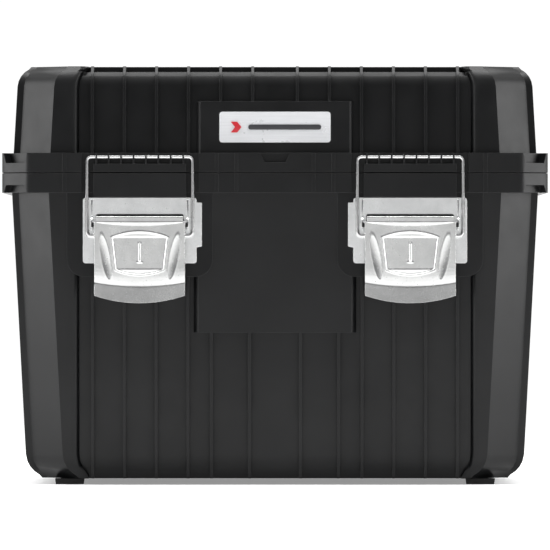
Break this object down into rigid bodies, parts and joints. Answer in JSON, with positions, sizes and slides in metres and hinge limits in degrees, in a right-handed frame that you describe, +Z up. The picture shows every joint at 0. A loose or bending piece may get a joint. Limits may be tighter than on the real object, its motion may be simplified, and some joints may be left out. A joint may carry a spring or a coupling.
{
  "type": "toolbox with tray",
  "caption": "Ribbed black plastic toolbox with a domed hinged lid, steel over-centre front latches, folding top handle and a lift-out tray.",
  "frame": {"origin": "middle of the base, at the underside of the rubber feet", "axes": "+Z up, +X to the viewer's right, the latches face -Y"},
  "size_m": [0.45, 0.3507, 0.345],
  "materials": {
    "black_plastic": "fine satin grain",
    "bright_steel": "bright nickel plating with fine scuffs",
    "dark_steel": "plain drawn wire",
    "black_rubber": "matte",
    "label": "silver satin foil",
    "handle_plastic": "fine satin grain",
    "tray_plastic": "fine satin grain",
    "tray_wire": "bright plated wire"
  },
  "bodies": {
    "case_body": {"case_shell": "black_plastic", "foot_front_left": "black_rubber", "foot_front_right": "black_rubber", "foot_rear_left": "black_rubber", "foot_rear_right": "black_rubber", "latch_plate_left": "bright_steel", "lever_pin_left": "bright_steel", "latch_rivet_left_inner": "bright_steel", "latch_rivet_left_outer": "bright_steel", "hinge_pin_left": "dark_steel", "latch_plate_right": "bright_steel", "lever_pin_right": "bright_steel", "latch_rivet_right_inner": "bright_steel", "latch_rivet_right_outer": "bright_steel", "hinge_pin_right": "dark_steel"},
    "lid": {"lid_shell": "black_plastic", "label_plate": "label", "handle_pin_left": "dark_steel", "handle_pin_right": "dark_steel"},
    "carry_handle": {"carry_handle": "handle_plastic", "handle_grip": "black_rubber"},
    "lever_left": {"lever_left": "bright_steel"},
    "bail_left": {"bail_left": "bright_steel", "trunnion_left": "bright_steel"},
    "lever_right": {"lever_right": "bright_steel"},
    "bail_right": {"bail_right": "bright_steel", "trunnion_right": "bright_steel"},
    "tray": {"tray_shell": "tray_plastic"},
    "tray_handle": {"tray_handle": "tray_wire"}
  },
  "joints": [
    {"name": "lid_hinge", "type": "hinge", "parent": "case_body", "child": "lid", "pos_m": [0, 0.1703, 0.257], "axis": [-1, 0, 0], "range_deg": [0, 105]},
    {"name": "carry_handle_fold", "type": "hinge", "parent": "lid", "child": "carry_handle", "pos_m": [0, -0.03, 0.335], "axis": [1, 0, 0], "range_deg": [0, 90]},
    {"name": "lever_left_hinge", "type": "hinge", "parent": "case_body", "child": "lever_left", "pos_m": [-0.1112, -0.166, 0.2155], "axis": [-1, 0, 0], "range_deg": [0, 110]},
    {"name": "bail_left_tilt", "type": "hinge", "parent": "lever_left", "child": "bail_left", "pos_m": [-0.1112, -0.1645, 0.205], "axis": [1, 0, 0], "range_deg": [0, 97.7]},
    {"name": "lever_right_hinge", "type": "hinge", "parent": "case_body", "child": "lever_right", "pos_m": [0.1112, -0.166, 0.2155], "axis": [-1, 0, 0], "range_deg": [0, 110]},
    {"name": "bail_right_tilt", "type": "hinge", "parent": "lever_right", "child": "bail_right", "pos_m": [0.1112, -0.1645, 0.205], "axis": [1, 0, 0], "range_deg": [0, 97.7]},
    {"name": "tray_lift", "type": "slide", "parent": "case_body", "child": "tray", "axis": [0, 0, 1], "range_m": [0, 0.05]},
    {"name": "tray_handle_fold", "type": "hinge", "parent": "tray", "child": "tray_handle", "pos_m": [0, 0, 0.254], "axis": [1, 0, 0], "range_deg": [0, 90]}
  ],
  "couplings": [
    {"joint": "bail_left_tilt", "follows": "lever_left_hinge", "ratio": 0.888},
    {"joint": "bail_right_tilt", "follows": "lever_right_hinge", "ratio": 0.888}
  ]
}
